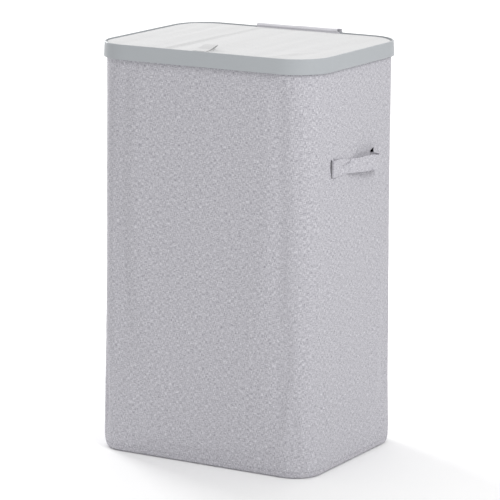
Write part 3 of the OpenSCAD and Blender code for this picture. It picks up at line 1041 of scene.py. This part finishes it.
# %% The crease, the droop and small buckles
def on_handle(i, h, side):
    """i counts along the line, h is the height from the strap's lower edge."""
    spot = handle_line[i]
    x, y = spot.x, spot.y
    outside = smooth_step(x, wall + 0.4 * mm, wall + 1.1 * mm)
    along = (y - slit_front) / mm
    share = h / strap_wide
    bend_at = 26 + 25 * smooth_step(share, 0.42, 1.05)
    held_in = outside * (1 - smooth_step(along, bend_at - 1, bend_at + 26))
    front_half = 1 - smooth_step(along, 60, 70)
    x = x - (x - wall - 1.2 * mm) * held_in * front_half
    crease = 2.4 * hump(along, bend_at - 2, 1.5) - 2.2 * hump(along, bend_at + 2.4, 2.0)
    x += outside * front_half * crease * mm * (x > wall)
    x += outside * 0.5 * hump(along, 77, 3) * mm
    x += outside * 0.35 * ripple(y / 0.012, h / 0.02, 6.0) * mm * smooth_step(along, 12, 30)
    top_drop = 4.6 * smooth_step(along, 20, 50) - 0.8 * hump(along, 85, 16)
    top_drop += 1.6 * smooth_step(along, 98, 112)
    low_drop = 2.2 * smooth_step(along, 40, 90) - 1.2 * hump(along, 30, 12)
    tucked = (1 - outside) * smooth_step(along, 98, 110)
    z = loop_low.z + h - (outside * (share * top_drop + (1 - share) * low_drop) + tucked * share * 6.0) * mm
    return Vector((side * x, y, z))


# %% Lay each half
halves = (("front", 0, split_at), ("back", split_at, len(handle_line) - 1))
heights, strap_t = even(0, strap_wide, 1.6 * mm), 1.3 * mm
for side_name, side in (("right", 1), ("left", -1)):
    for end_name, first, last in halves:
        part = marks(handle_line, handle_run)[first : last + 1]
        strip = cut_cloth(f"handle_{side_name}_{end_name}_strip", part, heights)
        lay(strip, lambda v, h: on_handle(round(v / handle_run * (len(handle_line) - 1)), h, side))
        if side < 0:
            strip.data.flip_normals()
        thicken(strip, strap_t, inwards=False)
        paint(strip, strap_canvas)
        ends = [f"handle_{side_name}"] if end_name == "front" else []
        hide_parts(f"handle_{side_name}_end_{end_name}", *ends)
        z = loop_high.z
        if end_name == "front":
            start, end = (side * wall, slit_front + 4 * mm, z), (side * wall, slit_front + 34 * mm, z)
        else:
            start, end = (side * wall, slit_back - 0.5 * mm, z), (side * wall, slit_back - 14 * mm, z)
        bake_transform(strip)
        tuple(start)
        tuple(end)
print("laid four half strips")

# %% [markdown]
# ## Stitching
# The seams are lockstitched in grey thread, one stitch every 4.5 mm: two rows up
# the back seam, one round the hem, and two across the tail of the hinge tape. A
# stitch is a small grain of thread that is half sunk in the cloth, and one grain
# with few faces is copied along each line.


# %% Twisted sewing thread
def sewing_thread(name, dark, light):
    finish, tree, main = new_finish(name, Roughness=0.6, IOR=1.54)
    main.inputs["Sheen Weight"].default_value = 0.2
    place = add_node(tree, "TexCoord").outputs["Object"]
    fibres = add_node(tree, "TexNoise", {"Vector": place, "Scale": 900.0, "Detail": 2.0}).outputs[0]
    twist = add_node(
        tree, "TexWave", {"Vector": place, "Scale": 500.0, "Distortion": 1.0}, bands_direction="DIAGONAL"
    ).outputs[1]
    both = add_node(tree, "Math", {0: fibres, 1: twist}, operation="MULTIPLY").outputs[0]
    colour = add_node(tree, "Mix", between(both, dark, light), data_type="RGBA").outputs[2]
    tree.links.new(colour, main.inputs["Base Color"])
    bump = add_node(tree, "Bump", {"Strength": 0.2, "Distance": 0.1 * mm, "Height": both}).outputs[0]
    tree.links.new(bump, main.inputs["Normal"])
    return finish


grey_thread = sewing_thread("grey_polyester_sewing_thread", "#85838B", "#A3A1A9")


# %% One stitch, copied along a line
stitch_pitch, half_long, half_wide, half_thick = 4.5 * mm, 1.5 * mm, 0.35 * mm, 0.3 * mm


def stitch_row(name, spots):
    """Each of the spots says where a stitch lies, which way it runs, and which way is off the cloth."""
    deselect()
    bpy.ops.mesh.primitive_uv_sphere_add(segments=6, ring_count=4, radius=1)
    row = bpy.context.object
    row.name = row.data.name = name
    grain = [v.co.copy() for v in row.data.vertices]
    faces = [tuple(f.vertices) for f in row.data.polygons]
    places, sides = [], []
    for place, way, outward in spots:
        aside = way.cross(outward)
        start = len(places)
        for g in grain:
            across = aside * g.x * half_wide + outward * g.y * half_thick
            places.append(place + way * g.z * half_long + across)
        sides += [[start + i for i in face] for face in faces]
    stitched = bpy.data.meshes.new(name)
    stitched.from_pydata(places, [], sides)
    row.data = stitched
    take(row)
    bpy.ops.object.mode_set(mode="EDIT")
    bpy.ops.mesh.select_all(action="SELECT")
    bpy.ops.mesh.normals_make_consistent(inside=False)
    bpy.ops.object.mode_set(mode="OBJECT")
    bpy.ops.object.shade_smooth()
    paint(row, grey_thread)
    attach(row, "body")
    print(name, len(spots), "stitches")


# %% Where the rows run
def on_cloth(s, z):
    """A place just off the cover, and the direction away from it."""
    spot, out = on_outline(s, 0, corner_r(z))
    lift = swell(s, z) + 0.1 * mm
    return Vector((spot.x + out.x * lift, spot.y + out.y * lift, z)), Vector((out.x, out.y, 0))


def beside_seam(offset, z):
    place, away = on_cloth(offset, z)
    return place, Vector((0, 0, 1)), away


def along_hem(s, z):
    place, away = on_cloth(s, z)
    return place, away.cross(Vector((0, 0, 1))), away


seam_heights = even(14 * mm, 555 * mm, stitch_pitch)
seam_rows = [beside_seam(x, z) for x in (-3.5 * mm, 3.5 * mm) for z in seam_heights]
hem_row = [along_hem(s, 9.5 * mm) for s in even(0, cloth_round, stitch_pitch)[:-1]]
tail_out = half_d + 0.75 * mm + hinge_t / 2
tail_rows = [
    (Vector((x, tail_out, z)), Vector((1, 0, 0)), Vector((0, 1, 0)))
    for z in (560.5 * mm, 571 * mm)
    for x in even(strap_low.x + 4 * mm, strap_high.x - 4 * mm, stitch_pitch)
]
stitch_row("back_seam_stitches", seam_rows)
stitch_row("hem_stitches", hem_row)
stitch_row("hinge_tail_stitches", tail_rows)

# %% [markdown]
# ## Floor and light
# A pale floor in a white room, with two wide soft lamps. One stands high on the
# right, near the rim, so the right side is a little brighter than the front and
# both fall off towards the floor. The other skims the lid from behind on the left,
# which brings out its creases. A third hangs over the floor behind, as in a studio,
# so that the background is white.

# %% Floor
deselect()
bpy.ops.mesh.primitive_plane_add(size=40, location=(0, 0, -0.2 * mm))
floor = bpy.context.object
floor.name = "pale_floor"
floor_finish, _, floor_main = new_finish("pale_matt_floor", Roughness=0.9)
floor_main.inputs["Base Color"].default_value = (0.98, 0.98, 0.98, 1)
floor_main.inputs["Specular IOR Level"].default_value = 0.1
paint(floor, floor_finish)
floor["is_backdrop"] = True

# %% Room
room = bpy.data.worlds.new("white_room")
room.use_nodes = True
room.node_tree.nodes["Background"].inputs["Color"].default_value = (1, 1, 1, 1)
room.node_tree.nodes["Background"].inputs["Strength"].default_value = 0.68
bpy.context.scene.world = room


# %% Lamps
def hang_lamp(name, power, size, place, aim=None):
    """A square lamp that shines at aim, or straight down."""
    light = bpy.data.lights.new(name, "AREA")
    light.energy, light.size = power, size
    lamp = bpy.data.objects.new(name, light)
    bpy.context.scene.collection.objects.link(lamp)
    lamp.location = place
    if aim:
        lamp.rotation_euler = (lamp.location - Vector(aim)).to_track_quat("Z", "Y").to_euler()
    print(name, power, "W,", size, "m wide")


hang_lamp("wide_lamp", 12.0, 0.6, (1.4, -0.75, 1.5), (0.05, 0, 0.45))
hang_lamp("side_lamp", 26.0, 0.8, (-1.9, 0.9, 1.15), (0, 0, 0.3))
hang_lamp("background_lamp", 260.0, 9.0, (-3.2, 6.6, 3.0))
bpy.context.scene.view_settings.view_transform = "Standard"
bpy.context.scene.view_settings.look = "None"

# %% [markdown]
# ## Sizes
# The frame's box and the box of what is shown are printed side by side; the cloth
# stands a little proud of the frame's box.

# %% Sizes
seen_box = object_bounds()
for label, box in (("cad box", cad_box), ("visual box", seen_box)):
    print(label, [[round(x / mm, 1) for x in corner] for corner in box])
